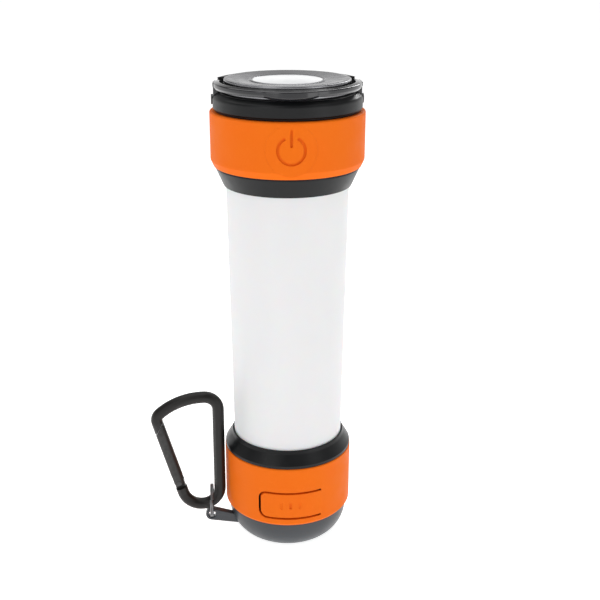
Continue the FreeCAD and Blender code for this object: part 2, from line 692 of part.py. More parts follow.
def spot_lamp():
    """Bezel, lens, seal, reflector, LED and heat sink of the spot lamp."""
    rim = d.bezel_rim_radius
    top = d.total_height
    keep(turned("bezel", [
        (d.lens_radius + 0.1, 159.9), (13.0, 159.9), (13.0, 155.0), (14.4, 155.0), (14.4, 159.9),
        (17.3, 159.9), (17.3, 150.0), (19.2, 150.0), (19.2, d.bezel_foot), (20.9, d.bezel_foot),
        (20.9, d.bezel_foot + 0.9), (rim, top - 0.5), (rim - 0.45, top), (rim - 1.4, top),
        (d.lens_radius + 0.9, top - 0.55), (d.lens_radius + 0.1, top - 0.45)]), "bezel")
    crown = (d.lens_radius * d.lens_radius + LENS_RISE * LENS_RISE) / (2 * LENS_RISE)
    keep(turned("lens", [
        (0, 158.7), (12.8, 158.7), (12.8, 159.7), (d.lens_radius, 159.7),
        (d.lens_radius, LENS_EDGE, crown), (0, LENS_EDGE + LENS_RISE)]), "lens")
    keep(turned("lens_seal", [
        (11.9, 158.0), (12.7, 158.0), (12.7, 158.7), (11.9, 158.7)]), "lens_seal")
    keep(turned("reflector", [
        (3.2, 147.8), (4.6, 147.8, 22.0), (12.4, 156.6), (12.7, 156.6), (12.7, 158.0),
        (11.6, 158.0, -22.0)]), "reflector")
    board = rod("led_disc", "z", 9.8, (0, 0, HEAT_SINK_TOP), LED_BOARD)
    holes = [rod(f"led_hole_{index}", "z", d.screw_radius + d.fit_gap, (x, y, 144), 3)
             for index, x, y in ring_places(LED_SCREW_CIRCLE, 2, 0)]
    keep(trimmed("led_board_cut", board, holes), "led_board")
    chip = block("led_chip")
    dome = rod("led_dome", "z", 2.0, (0, 0, 147.0), 0.9)
    keep(joined("spot_led_solid", [chip, dome]), "spot_led")
    heat_sink()
    screws = [screw(f"led_screw_{index}", x, y, **LED_SCREW)
              for index, x, y in ring_places(LED_SCREW_CIRCLE, 2, 0)]
    keep(group("led_screw_set", screws), "led_board_screws")
    screws = [screw(f"sink_screw_{index}", x, y, **SINK_SCREW)
              for index, x, y in ring_places(SINK_SCREW_CIRCLE, 3, 90)]
    keep(group("sink_screw_set", screws), "heat_sink_screws")


def heat_sink():
    """Aluminium disc under the LED board, with a flat beside the switch."""
    disc = rod("sink_disc", "z", 19.0, (0, 0, LEDGE_HIGH), HEAT_SINK_TOP - LEDGE_HIGH)
    tools = [block("sink_flat")]
    for index, x, y in ring_places(SINK_SCREW_CIRCLE, 3, 90):
        tools.append(rod(f"sink_hole_{index}", "z", d.screw_radius + d.fit_gap, (x, y, 141), 5))
    for index, x, y in ring_places(LED_SCREW_CIRCLE, 2, 0):
        tools.append(rod(f"sink_pilot_{index}", "z", d.screw_radius + THREAD_GAP, (x, y, 142.3), 4))
    keep(trimmed("heat_sink_cut", disc, tools), "heat_sink")


def driver_board():
    """Driver board with its choke and control chip, under the ledge."""
    disc = rod("driver_disc", "z", 18.4, (0, 0, 137.6), 1.4)
    choke = block("driver_choke")
    chip = block("driver_chip")
    keep(joined("driver_board_solid", [disc, choke, chip]), "driver_board")


EAR_HALF = 2.2                   # half width of the bail's ears, and the radius of their eyes
PIN_HEAD = 1.6
PIN_HEAD_THICK = 0.6


def bail():
    """Half-ring bail round the front of the bezel, its ears and the two pivot pins."""
    outer = d.bail_bore + d.bail_width
    hoop = turned("bail_hoop", [
        (d.bail_bore, d.bail_low + 0.5), (d.bail_bore + 0.5, d.bail_low), (outer - 0.5, d.bail_low),
        (outer, d.bail_low + 0.5), (outer, d.bail_high - 0.7), (outer - 0.7, d.bail_high),
        (d.bail_bore + 0.5, d.bail_high), (d.bail_bore, d.bail_high - 0.5)])
    front = block("bail_front")
    pieces = [shared("bail_half", hoop, front), finger_tab()]
    bores = []
    pins = []
    for side in (-1, 1):
        inner, far = (d.bail_bore, outer) if side > 0 else (-outer, -d.bail_bore)
        pieces.append(box(f"bail_ear_{side + 1}", (inner, far), (-EAR_HALF, EAR_HALF),
                          (d.bail_pivot, d.bail_high - 0.6)))
        pieces.append(rod(f"bail_eye_{side + 1}", "x", EAR_HALF, (inner, 0, d.bail_pivot), far - inner))
        bores.append(rod(f"bail_bore_{side + 1}", "x", d.pin_radius + d.running_gap,
                         (inner - 1, 0, d.bail_pivot), far - inner + 2))
        shank_start = 19.7 if side > 0 else -23.8
        head_start = 23.7 if side > 0 else -24.3
        shank = rod(f"pin_shank_{side + 1}", "x", d.pin_radius, (shank_start, 0, d.bail_pivot), 4.1)
        head = rod(f"pin_head_{side + 1}", "x", PIN_HEAD, (head_start, 0, d.bail_pivot), PIN_HEAD_THICK)
        pins.append(joined(f"pin_{side + 1}", [shank, head]))
    keep(trimmed("bail_cut", joined("bail_solid", pieces), bores), "hanging_bail")
    keep(group("bail_pin_set", pins), "bail_pins")


def finger_tab():
    """Lip at the middle of the bail that a fingertip lifts."""
    lip = turned("tab_ring", [
        (22.4, d.bail_low - 0.9), (24.0, d.bail_low - 0.9), (24.6, d.bail_low),
        (24.6, d.bail_low + 1.2), (23.2, d.bail_high - 0.3), (22.4, d.bail_high - 0.3)])
    reach = block("tab_reach")
    return shared("finger_tab", lip, reach)


# ---------------------------------------------------------------- ring and carabiner
GATE_PIVOT = 4.6                 # distance of the gate's pin above the end of the lower bend
NOSE_GAP = 0.3
LATCH_SLOPE = -45.0
RING_ROOM = 0.3                  # least clearance between the ring's top and the hook's bend
NOSE_LENGTH = 4.8                # straight end of the nose, down from the top bend
LATCH_DROP = 2.4                 # middle of the latch below the top bend, so that it misses the bend
LATCH_WIDTH = 6.6                # width of the latch cut, just over the sloping section of the rod
LATCH_DEPTH = 6.0
LATCH_SPARE = 0.25               # how far the uncut gate reaches past its sloping end
TANG_THICK = 1.6                 # tongue of the hook between the gate's two cheeks
TANG_RADIUS = 1.7
GATE_SLOT = 2.0                  # slot of the gate round the tongue
GATE_BORE = 1.15                 # bore of the gate that holds its spring
PIN_LENGTH = 4.0


class Loop:
    """Centreline of the carabiner: straight back, three bends over the top, gate line, lower bend."""

    def __init__(self):
        self.low = Vector(d.bend_x.value, d.eye_y.value, d.bend_z.value)
        self.back_x = self.low.x + d.bend_radius.value
        self.top = d.carabiner_top.value
        bend = d.top_bend_radius.value
        broad = d.shoulder_radius.value
        nose = d.nose_bend_radius.value
        self.top_centre = Vector(self.back_x - bend, self.low.y, self.top - bend)
        self.broad_centre = Vector(self.back_x - bend, self.low.y, self.top - broad)
        slope = 90 + d.shoulder_turn.value
        self.nose_centre = self.at(self.broad_centre, broad - nose, slope)
        across = self.nose_centre - self.low
        lean = math.degrees(math.atan2(across.z, across.x))
        ease = math.degrees(math.asin((d.bend_radius.value - nose) / across.Length))
        self.side = lean + ease + 90 - 2 * ease
        self.slope = slope

    @staticmethod
    def at(centre, radius, degrees):
        """A point on a circle in the carabiner's plane."""
        angle = math.radians(degrees)
        return centre + Vector(radius * math.cos(angle), 0, radius * math.sin(angle))

    def arc(self, centre, radius, first, last):
        """An arc between two directions from its centre."""
        middle = self.at(centre, radius, (first + last) / 2)
        return Part.Arc(self.at(centre, radius, first), middle, self.at(centre, radius, last)).toShape()

    def gate_line(self):
        """Foot and head of the straight gate side."""
        foot = self.at(self.low, d.bend_radius.value, self.side)
        head = self.at(self.nose_centre, d.nose_bend_radius.value, self.side)
        return foot, head


def in_line(shape, start, along):
    """Move a shape built along +Z so that it starts at a point and runs along a direction."""
    shape.Placement = Placement(start, Rotation(Vector(0, 0, 1), along))
    return shape


def centred_block(across, thick, start, length):
    """A block about the Z axis, across in X and thick in Y."""
    return Part.makeBox(across, thick, length, Vector(-across / 2, -thick / 2, start))


def carabiner():
    """Steel ring, snap hook body, its gate, gate pin and gate spring."""
    ring = doc.addObject("Part::Torus", "ring_torus")
    bind(ring, "Radius1", d.ring_radius)
    bind(ring, "Radius2", d.ring_wire)
    place(ring, d.eye_x, d.eye_y, d.eye_z + d.ring_radius, TURNED_TO["x"])
    keep(ring, "split_ring")

    loop = Loop()
    foot, head = loop.gate_line()
    along = (head - foot).normalize()
    pivot = foot + along * GATE_PIVOT
    gate_length = (head - pivot).Length - LATCH_DROP
    radius = d.rod_radius.value
    shoulder = pivot - along * (radius + 0.35)
    edges = [
        Part.LineSegment(shoulder, foot).toShape(),
        loop.arc(loop.low, d.bend_radius.value, loop.side, 360),
        Part.LineSegment(loop.at(loop.low, d.bend_radius.value, 0),
                         Vector(loop.back_x, loop.low.y, loop.top_centre.z)).toShape(),
        loop.arc(loop.top_centre, d.top_bend_radius.value, 0, 90),
        loop.arc(loop.broad_centre, d.shoulder_radius.value, 90, loop.slope),
        loop.arc(loop.nose_centre, d.nose_bend_radius.value, loop.slope, loop.side),
        Part.LineSegment(head, head - along * NOSE_LENGTH).toShape(),
    ]
    section = Part.Wire(Part.makeCircle(radius, shoulder, along))
    hook = Part.Wire(edges).makePipeShell([section], True, False)
    hook = hook.cut(latch_cutter(pivot, along, gate_length, -1))
    eye = Part.makeCylinder(TANG_RADIUS, TANG_THICK, Vector(0, -TANG_THICK / 2, 0), Vector(0, 1, 0))
    tang = centred_block(2 * TANG_RADIUS, TANG_THICK, -radius - 1.2, radius + 1.2).fuse(eye)
    hook = hook.fuse(in_line(tang, pivot, along))
    hook = hook.cut(Part.makeCylinder(0.73, 10, pivot - Vector(0, 5, 0), Vector(0, 1, 0)))
    keep(made("carabiner_hook", hook), "carabiner_body")

    lever = Part.makeCylinder(radius, gate_length + radius + LATCH_SPARE).fuse(Part.makeSphere(radius))
    lever = lever.cut(centred_block(2 * radius + 2, GATE_SLOT, -radius - 1, radius + 3.4))
    lever = lever.cut(Part.makeCylinder(GATE_BORE, 7.5, Vector(0, 0, 2.0)))
    lever = in_line(lever, pivot, along)
    lever = lever.cut(Part.makeCylinder(0.75, 10, pivot - Vector(0, 5, 0), Vector(0, 1, 0)))
    lever = lever.cut(latch_cutter(pivot, along, gate_length, 1))
    keep(made("gate_lever", lever), "carabiner_gate")
    rivet = Part.makeCylinder(0.7, PIN_LENGTH, pivot - Vector(0, PIN_LENGTH / 2, 0), Vector(0, 1, 0))
    keep(made("gate_rivet", rivet), "gate_pin")
    spot = Placement(pivot + along * 3.2, Rotation(Vector(0, 0, 1), along))
    keep(wire_coil("gate_coil", 0.75, 0.18, 0.8, 5.6, spot), "gate_spring")
    report_axes(loop, pivot)


def latch_cutter(pivot, along, gate_length, side):
    """Block whose sloping face parts the gate (side 1) from the nose (side -1)."""
    start = -NOSE_GAP / 2 if side > 0 else NOSE_GAP / 2 - LATCH_DEPTH
    half = LATCH_WIDTH / 2
    wedge = Part.makeBox(LATCH_WIDTH, LATCH_WIDTH, LATCH_DEPTH, Vector(-half, -half, start))
    face = Rotation(Vector(0, 0, 1), along).multiply(Rotation(Vector(0, 1, 0), LATCH_SLOPE))
    wedge.Placement = Placement(pivot + along * gate_length, face)
    return wedge


def made(name, shape):
    """A document object for a shape built with Part's own functions."""
    feature = doc.addObject("Part::Feature", name)
    feature.Shape = shape
    return feature


def report_axes(loop, pivot):
    """Print the hinge axes of the hook and its gate."""
    print("carabiner tilt axis", loop.low.x, loop.low.y, loop.low.z)
    print("gate pivot axis", round(pivot.x, 4), round(pivot.y, 4), round(pivot.z, 4))


# ---------------------------------------------------------------- build, check, write
def build():
    base_cap()
    base_housing()
    lower_band_and_flap()
    sockets_and_boards()
    lower_collar()
    diffuser()
    core()
    lantern_lights()
    head_collar()
    head_housing()
    upper_band_and_button()
    switch_parts()
    spot_lamp()
    driver_board()
    bail()
    carabiner()
    doc.recompute()


def check_ring():
    """Stop if the hook's bend would touch the top of the ring while it slides round inside it."""
    top = Vector(d.eye_x.value, 0, (d.eye_z + 2 * d.ring_radius).value)
    reach = (top - Vector(d.bend_x.value, 0, d.bend_z.value)).Length
    room = (d.bend_radius - d.rod_radius - d.ring_wire).value - reach
    if room < RING_ROOM:
        raise RuntimeError(f"the ring clears the hook's bend by only {room:.2f}")


def check():
    """Stop if an object failed or a sub-part has no valid solid."""
    broken = [item.Label for item in doc.Objects
              if {"Invalid", "Error"} & set(item.State)]
    bad_shapes = [label for label, piece in nodes
                  if piece.Shape.isNull() or not piece.Shape.isValid() or piece.Shape.Volume <= 0]
    if broken or bad_shapes:
        raise RuntimeError(f"failed objects {broken}, bad shapes {bad_shapes}")


def write():
    os.makedirs("parts", exist_ok=True)
    for label, piece in nodes:
        piece.Shape.exportStep(f"parts/{label}.step")
        print(label, len(piece.Shape.Solids), "solids", round(piece.Shape.Volume, 1), "mm3")


check_ring()
build()
check()
write()
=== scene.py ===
import json
import math

import bmesh
import bpy
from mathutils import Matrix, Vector


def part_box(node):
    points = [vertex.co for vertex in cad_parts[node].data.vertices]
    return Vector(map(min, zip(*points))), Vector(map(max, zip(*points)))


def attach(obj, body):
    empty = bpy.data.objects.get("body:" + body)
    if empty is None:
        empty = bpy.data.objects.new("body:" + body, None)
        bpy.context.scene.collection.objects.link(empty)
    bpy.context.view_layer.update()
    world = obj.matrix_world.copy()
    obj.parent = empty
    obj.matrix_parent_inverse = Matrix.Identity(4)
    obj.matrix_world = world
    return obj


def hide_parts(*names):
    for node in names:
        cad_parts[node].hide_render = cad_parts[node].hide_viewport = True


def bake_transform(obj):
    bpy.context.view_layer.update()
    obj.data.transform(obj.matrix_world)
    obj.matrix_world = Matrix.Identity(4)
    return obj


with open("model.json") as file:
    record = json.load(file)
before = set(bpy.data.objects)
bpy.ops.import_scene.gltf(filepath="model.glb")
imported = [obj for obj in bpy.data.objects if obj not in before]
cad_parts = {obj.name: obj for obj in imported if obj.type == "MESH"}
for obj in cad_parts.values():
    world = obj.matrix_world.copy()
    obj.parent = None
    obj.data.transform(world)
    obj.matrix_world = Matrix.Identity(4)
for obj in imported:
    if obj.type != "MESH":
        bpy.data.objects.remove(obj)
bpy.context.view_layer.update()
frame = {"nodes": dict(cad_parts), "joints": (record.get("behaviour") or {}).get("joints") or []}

# Shapes are worked out in millimetres and scaled to metres when they become meshes.
MM = 0.001
FACETS = 224                     # sides of a turned piece
ARC_STEPS = 6                    # segments in a rounded corner
SHARP = math.radians(35)         # edges sharper than this are bevelled
BEYOND = 30.0                    # further out than any part of the torch, where cutters end
BAND_WALL = 1.9                  # thickness of the two silicone bands
BUTTON_RADIUS = 8.0              # the button's opening in the upper band
EAR_HALF = 2.2                   # half width of the bail's ears


# ---------------------------------------------------------------- reading the frame
def corners(node):
    """Lowest and highest corner of a CAD node, in millimetres."""
    low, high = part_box(node)
    return low / MM, high / MM


def joint(name):
    """A joint of the record."""
    return next(item for item in frame["joints"] if item["name"] == name)


# ---------------------------------------------------------------- outlines
def arc(start, end, radius, steps=28):
    """Outline points from start to just before end; a positive radius turns left."""
    first = Vector(start)
    last = Vector(end)
    chord = last - first
    rise = math.sqrt(radius ** 2 - (chord.length / 2) ** 2)
    left = Vector((-chord.y, chord.x)).normalized() * math.copysign(rise, radius)
    centre = first + chord / 2 + left
    spoke = first - centre
    sweep = 2 * math.asin(chord.length / 2 / abs(radius)) * math.copysign(1, radius)
    return [tuple(centre + turned_by(spoke, sweep * step / steps)) for step in range(steps)]


def turned_by(vector, angle):
    """A flat vector turned left by an angle."""
    across = math.cos(angle) * vector.x - math.sin(angle) * vector.y
    return Vector((across, math.sin(angle) * vector.x + math.cos(angle) * vector.y))


def rounded(outline):
    """A closed outline whose corners (x, y, radius) are rounded; (x, y) stays as it is."""
    points = []
    for index, corner in enumerate(outline):
        here = Vector(corner[:2])
        if len(corner) < 3:
            points.append(tuple(here))
            continue
        back = (Vector(outline[index - 1][:2]) - here).normalized()
        on = (Vector(outline[(index + 1) % len(outline)][:2]) - here).normalized()
        half = back.angle(on) / 2
        centre = here + (back + on).normalized() * corner[2] / math.sin(half)
        first = here + back * corner[2] / math.tan(half) - centre
        last = here + on * corner[2] / math.tan(half) - centre
        sweep = math.atan2(first.x * last.y - first.y * last.x, first.dot(last))
        for step in range(ARC_STEPS + 1):
            points.append(tuple(centre + turned_by(first, sweep * step / ARC_STEPS)))
    return points


def circle(centre, radius, steps=96):
    """A round outline."""
    return [(centre[0] + radius * math.cos(math.tau * step / steps),
             centre[1] + radius * math.sin(math.tau * step / steps)) for step in range(steps)]


# ---------------------------------------------------------------- solids
def skinned(rings, closed):
    """A mesh through rings of points; an open run of rings is capped at both ends."""
    mesh = bmesh.new()
    rows = [[mesh.verts.new(point) for point in ring] for ring in rings]
    pairs = list(zip(rows, rows[1:]))
    if closed:
        pairs.append((rows[-1], rows[0]))
    for one, other in pairs:
        for index in range(len(one)):
            following = (index + 1) % len(one)
            mesh.faces.new((one[index], one[following], other[following], other[index]))
    if not closed:
        mesh.faces.new(rows[0])
        mesh.faces.new(reversed(rows[-1]))
    bmesh.ops.remove_doubles(mesh, verts=mesh.verts, dist=1e-4)
    bmesh.ops.dissolve_degenerate(mesh, edges=mesh.edges, dist=1e-5)
    bmesh.ops.recalc_face_normals(mesh, faces=mesh.faces)
    return mesh


def turned(outline):
    """A solid of revolution about Z from an outline of (radius, height)."""
    rings = []
    for step in range(FACETS):
        angle = math.tau * step / FACETS
        rings.append([(r * math.sin(angle), -r * math.cos(angle), z) for r, z in outline])
    return skinned(rings, True)


AXES = {
    "x": lambda across, up, along: (along, across, up),
    "y": lambda across, up, along: (across, along, up),
    "z": lambda across, up, along: (across, up, along),
}


def prism(axis, outline, low, high):
    """A flat outline pushed along an axis between two limits."""
    place = AXES[axis]
    return skinned([[place(x, y, end) for x, y in outline] for end in (low, high)], False)


def drum(radius, low, high):
    """A plain cylinder about Z."""
    return turned([(0.0, low), (radius, low), (radius, high), (0.0, high)])


def block(x_span, y_span, z_span):
    """A plain block, used to cut other solids."""
    outline = [(x_span[0], y_span[0]), (x_span[1], y_span[0]),
               (x_span[1], y_span[1]), (x_span[0], y_span[1])]
    return prism("z", outline, *z_span)


def as_object(name, mesh):
    """A bmesh as a linked object, in its own units."""
    data = bpy.data.meshes.new(name)
    mesh.to_mesh(data)
    mesh.free()
    obj = bpy.data.objects.new(name, data)
    bpy.context.scene.collection.objects.link(obj)
    return obj


def combined(operation, solid, *tools):
    """A solid after one exact boolean with each tool."""
    result = as_object("solid", solid)
    for tool in tools:
        other = as_object("tool", tool)
        step = result.modifiers.new("step", "BOOLEAN")
        step.operation = operation
        step.solver = "EXACT"
        step.object = other
        evaluated = result.evaluated_get(bpy.context.evaluated_depsgraph_get())
        mesh = bmesh.new()
        mesh.from_mesh(bpy.data.meshes.new_from_object(evaluated))
        bpy.data.objects.remove(other)
        bpy.data.objects.remove(result)
        result = as_object("solid", mesh)
    mesh = bmesh.new()
    mesh.from_mesh(result.data)
    bpy.data.objects.remove(result)
    return mesh


def cut(solid, *tools):
    """A solid with the tools taken away."""
    return combined("DIFFERENCE", solid, *tools)


def shared(solid, *tools):
    """What a solid and each tool have in common."""
    return combined("INTERSECT", solid, *tools)


def fused(solid, *others):
    """Several solids as one."""
    return combined("UNION", solid, *others)


def piece(name, mesh, body, material, replaced=(), edge=0.0):
    """A solid in millimetres as a finished piece; edge is the bevel on its cut edges.

    A piece with no body is placed by its caller.
    """
    bmesh.ops.scale(mesh, vec=(MM, MM, MM), verts=mesh.verts)
    obj = as_object(name, mesh)
    obj.data.materials.append(material)
    obj.data.shade_smooth()
    if edge:
        bevel = obj.modifiers.new("rounded_edges", "BEVEL")
        bevel.width = edge * MM
        bevel.segments = 3
        bevel.limit_method = "ANGLE"
        bevel.angle_limit = SHARP
        bevel.use_clamp_overlap = False
    else:
        obj.data.set_sharp_from_angle(angle=SHARP)
    even = obj.modifiers.new("even_normals", "WEIGHTED_NORMAL")
    even.keep_sharp = True
    if body:
        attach(obj, body)
    if replaced:
        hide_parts(*replaced)
    return obj


# ---------------------------------------------------------------- materials
class Finish:
    """A procedural material under construction, patterned in the object's own space."""

    def __init__(self, name, color, rough, metal=0.0):
        self.material = bpy.data.materials.new(name)
        self.material.use_nodes = True
        self.tree = self.material.node_tree
        self.shader = self.tree.nodes["Principled BSDF"]
        self.color = (*color, 1.0)
        self.shader.inputs["Base Color"].default_value = self.color
        self.shader.inputs["Roughness"].default_value = rough
        self.shader.inputs["Metallic"].default_value = metal
        self.rough = rough
        self.space = self.node("ShaderNodeTexCoord").outputs["Object"]

    def node(self, kind, **values):
        """A new node with some of its sockets set."""
        made = self.tree.nodes.new(kind)
        for socket, value in values.items():
            made.inputs[socket.replace("_", " ")].default_value = value
        return made

    def link(self, source, target):
        self.tree.links.new(source, target)

    def set(self, **values):
        """Constants set on the shader's own sockets."""
        for socket, value in values.items():
            self.shader.inputs[socket.replace("_", " ")].default_value = value
        return self

    def noise(self, size, detail=3.0, stretch=(1, 1, 1)):
        """Noise whose features are about size millimetres, longer along stretched axes."""
        mapping = self.node("ShaderNodeMapping")
        mapping.inputs["Scale"].default_value = [1 / share for share in stretch]
        self.link(self.space, mapping.inputs["Vector"])
        noise = self.node("ShaderNodeTexNoise", Scale=1 / (size * MM), Detail=detail)
        self.link(mapping.outputs["Vector"], noise.inputs["Vector"])
        return noise.outputs["Fac"]

    def spread(self, factor, low, high, start=0.3, end=0.7):
        """A factor brought from one range into another."""
        change = self.node("ShaderNodeMapRange")
        for socket, value in zip(("From Min", "From Max", "To Min", "To Max"),
                                 (start, end, low, high)):
            change.inputs[socket].default_value = value
        self.link(factor, change.inputs["Value"])
        return change.outputs["Result"]

    def tint(self, factor, color):
        """Mix a second colour over the present one by a factor."""
        mix = self.node("ShaderNodeMix")
        mix.data_type = "RGBA"
        base = self.shader.inputs["Base Color"]
        first, second = [socket for socket in mix.inputs if socket.type == "RGBA"]
        first.default_value = self.color
        if base.is_linked:
            self.link(base.links[0].from_socket, first)
        second.default_value = (*color, 1.0)
        self.link(factor, mix.inputs["Factor"])
        result = next(socket for socket in mix.outputs if socket.type == "RGBA")
        self.link(result, base)
        return self

    def uneven(self, size, amount):
        """Vary the roughness in patches."""
        patch = self.spread(self.noise(size), self.rough - amount, self.rough + amount)
        self.link(patch, self.shader.inputs["Roughness"])
        return self

    def grain(self, factor, depth):
        """Raise the surface by a factor, depth millimetres high."""
        bump = self.node("ShaderNodeBump", Distance=depth * MM, Strength=1.0)
        self.link(factor, bump.inputs["Height"])
        if self.shader.inputs["Normal"].is_linked:
            self.link(self.shader.inputs["Normal"].links[0].from_socket, bump.inputs["Normal"])
        self.link(bump.outputs["Normal"], self.shader.inputs["Normal"])
        return self

    def edge_wear_and_highlight(self, color, amount):
        """Lighten the convex edges, broken up by noise: rubbed wear, which on the carabiner is also
        a painted highlight.
        """
        edge = self.spread(self.node("ShaderNodeNewGeometry").outputs["Pointiness"], 0, amount,
                           0.52, 0.62)
        broken = self.node("ShaderNodeMath")
        broken.operation = "MULTIPLY"
        self.link(edge, broken.inputs[0])
        self.link(self.noise(1.2), broken.inputs[1])
        return self.tint(broken.outputs["Value"], color)


def moulded(name, color, rough, light, grain_size=0.35, grain_depth=0.012):
    """Satin moulded plastic with fine grain, patches and rubbed edges."""
    finish = Finish(name, color, rough)
    finish.tint(finish.spread(finish.noise(9.0), 0, 0.5), [channel * 1.35 for channel in color])
    finish.edge_wear_and_highlight(light, 0.35)
    finish.uneven(4.0, 0.06)
    finish.grain(finish.noise(grain_size, 2.0), grain_depth)
    return finish


def silicone():
    """Matt orange silicone with faint mottling and a soft ripple."""
    finish = Finish("orange_silicone", (0.79, 0.150, 0.005), 0.55)
    finish.tint(finish.spread(finish.noise(14.0), 0, 0.55), (0.80, 0.135, 0.006))
    finish.tint(finish.spread(finish.noise(0.9, 1.0), 0, 0.12, 0.6, 0.8), (0.88, 0.22, 0.03))
    finish.uneven(5.0, 0.07)
    finish.grain(finish.noise(0.3, 2.0), 0.010)
    finish.grain(finish.noise(6.0, 1.0), 0.03)
    return finish.set(Specular_IOR_Level=0.08).material


def frosted():
    """Frosted polycarbonate; its faint darker patches along the tube are painted shade of the light
    strips inside.
    """
    finish = Finish("frosted_tube", (0.74, 0.74, 0.745), 0.5)
    # Darker streaks along the tube: painted shade standing in for the shadows of the inner light
    # strips.
    finish.tint(finish.spread(finish.noise(16.0, 2.0, (1, 1, 5)), 0, 0.6), (0.71, 0.71, 0.72))
    finish.uneven(7.0, 0.05)
    finish.grain(finish.noise(0.25, 2.0), 0.006)
    finish.grain(finish.noise(3.0, 1.0, (1, 1, 14)), 0.01)
    return finish.set(Subsurface_Weight=0.25, Subsurface_Scale=0.002).material


def polished(name, color, rough, brush, depth=0.004, metal=1.0):
    """Metal with fine scratches along the stretched axis."""
    finish = Finish(name, color, rough, metal)
    finish.tint(finish.spread(finish.noise(5.0), 0, 0.5), [channel * 1.3 for channel in color])
    finish.uneven(2.5, 0.05)
    finish.grain(finish.noise(0.35, 3.0, brush), depth)
    return finish


def bezel_metal():
    """Turned and polished, so that its highlights fan out from the centre."""
    finish = polished("bezel_metal", (0.22, 0.22, 0.23), 0.20, (1, 1, 1), 0.0)
    tangent = finish.node("ShaderNodeTangent")
    tangent.direction_type = "RADIAL"
    tangent.axis = "Z"
    finish.link(tangent.outputs["Tangent"], finish.shader.inputs["Tangent"])
    return finish.set(Anisotropic=0.75).material


def board_green():
    """Circuit board lacquer with lighter specks."""
    finish = Finish("circuit_board", (0.02, 0.14, 0.06), 0.35)
    finish.tint(finish.spread(finish.noise(1.2, 0.0), 0, 0.8, 0.55, 0.6), (0.10, 0.30, 0.12))
    finish.uneven(2.0, 0.05)
    finish.grain(finish.noise(0.4), 0.01)
    return finish.material


SATIN_BLACK = moulded("satin_black", (0.006, 0.0065, 0.007), 0.36, (0.03, 0.032, 0.034)).set(
    Specular_IOR_Level=0.24).material
CAP_PLASTIC = moulded("cap_plastic", (0.030, 0.036, 0.042), 0.36, (0.10, 0.11, 0.12)).material
GLOSS_BLACK = moulded("gloss_black", (0.012, 0.012, 0.014), 0.16, (0.06, 0.06, 0.06), 1.5,
                      0.004).set(Coat_Weight=0.3).material
ORANGE = silicone()
FROSTED = frosted()
BEZEL = bezel_metal()
# The carabiner's lighter grey edges are partly edge wear and partly a painted highlight.
HOOK = polished("hook_anodised", (0.011, 0.010, 0.0092), 0.36, (1, 1, 3), metal=0.05).edge_wear_and_highlight(
    (0.12, 0.12, 0.12), 0.4).set(Specular_IOR_Level=0.28).material
PIN = polished("blackened_pin", (0.05, 0.05, 0.05), 0.30, (3, 1, 1), metal=0.6).material
RING = polished("ring_steel", (0.16, 0.16, 0.165), 0.32, (1, 4, 4)).material
STEEL = polished("zinc_steel", (0.55, 0.56, 0.58), 0.28, (1, 1, 5)).material
BARE_ALUMINIUM = polished("bare_aluminium", (0.70, 0.71, 0.73), 0.35, (6, 1, 1)).material
CONTACT = polished("contact_metal", (0.65, 0.58, 0.40), 0.25, (1, 1, 4)).material
MIRROR = polished("reflector_coat", (0.88, 0.88, 0.90), 0.08, (1, 1, 1), 0.001).material
OPAL = moulded("opal_lens", (0.93, 0.94, 0.95), 0.16, (0.95, 0.95, 0.95), 2.0, 0.002).set(
    Coat_Weight=0.5).material
WHITE_PLASTIC = moulded("white_plastic", (0.80, 0.80, 0.78), 0.45, (0.9, 0.9, 0.9)).material
CELL_WRAP = moulded("cell_wrap", (0.03, 0.10, 0.30), 0.30, (0.2, 0.3, 0.5)).material
SEAL_RUBBER = moulded("seal_rubber", (0.018, 0.018, 0.018), 0.62, (0.05, 0.05, 0.05)).material
DARK_PLASTIC = moulded("dark_plastic", (0.03, 0.03, 0.03), 0.50, (0.1, 0.1, 0.1)).material
PHOSPHOR = moulded("led_phosphor", (0.90, 0.78, 0.25), 0.30, (0.95, 0.9, 0.6)).material
WIRE_JACKET = moulded("wire_jacket", (0.45, 0.03, 0.03), 0.45, (0.6, 0.1, 0.1)).material
BOARD = board_green()

CARRIED_OVER = {
    "base_housing": SATIN_BLACK, "base_screws": STEEL, "battery_cell": CELL_WRAP,
    "core_sleeve": WHITE_PLASTIC, "upper_core_plug": WHITE_PLASTIC,
    "lower_core_plug": WHITE_PLASTIC, "top_contact": CONTACT, "contact_spring": CONTACT,
    "harness_wires": WIRE_JACKET, "light_strips": BOARD, "lantern_leds": PHOSPHOR,
    "upper_seal": SEAL_RUBBER, "lower_seal": SEAL_RUBBER, "lens_seal": SEAL_RUBBER,
    "reflector": MIRROR, "spot_led": PHOSPHOR, "led_board": BARE_ALUMINIUM,
    "heat_sink": BARE_ALUMINIUM, "led_board_screws": STEEL, "heat_sink_screws": STEEL,
    "driver_board": BOARD, "power_board": BOARD, "port_board": BOARD, "switch_board": BOARD,
    "usb_out_shell": STEEL, "usb_in_shell": STEEL, "usb_out_tongue": DARK_PLASTIC,
    "usb_in_tongue": DARK_PLASTIC, "tact_switch": DARK_PLASTIC, "switch_stem": DARK_PLASTIC,
    "button_actuator": SATIN_BLACK, "bail_pins": PIN, "gate_pin": PIN,
    "gate_spring": STEEL, "carabiner_body": HOOK, "carabiner_gate": HOOK,
}


def carried_over():
    """Give every CAD node that stays its procedural finish."""
    for name, material in CARRIED_OVER.items():
        node = frame["nodes"][name]
        node.data.materials.clear()
        node.data.materials.append(material)


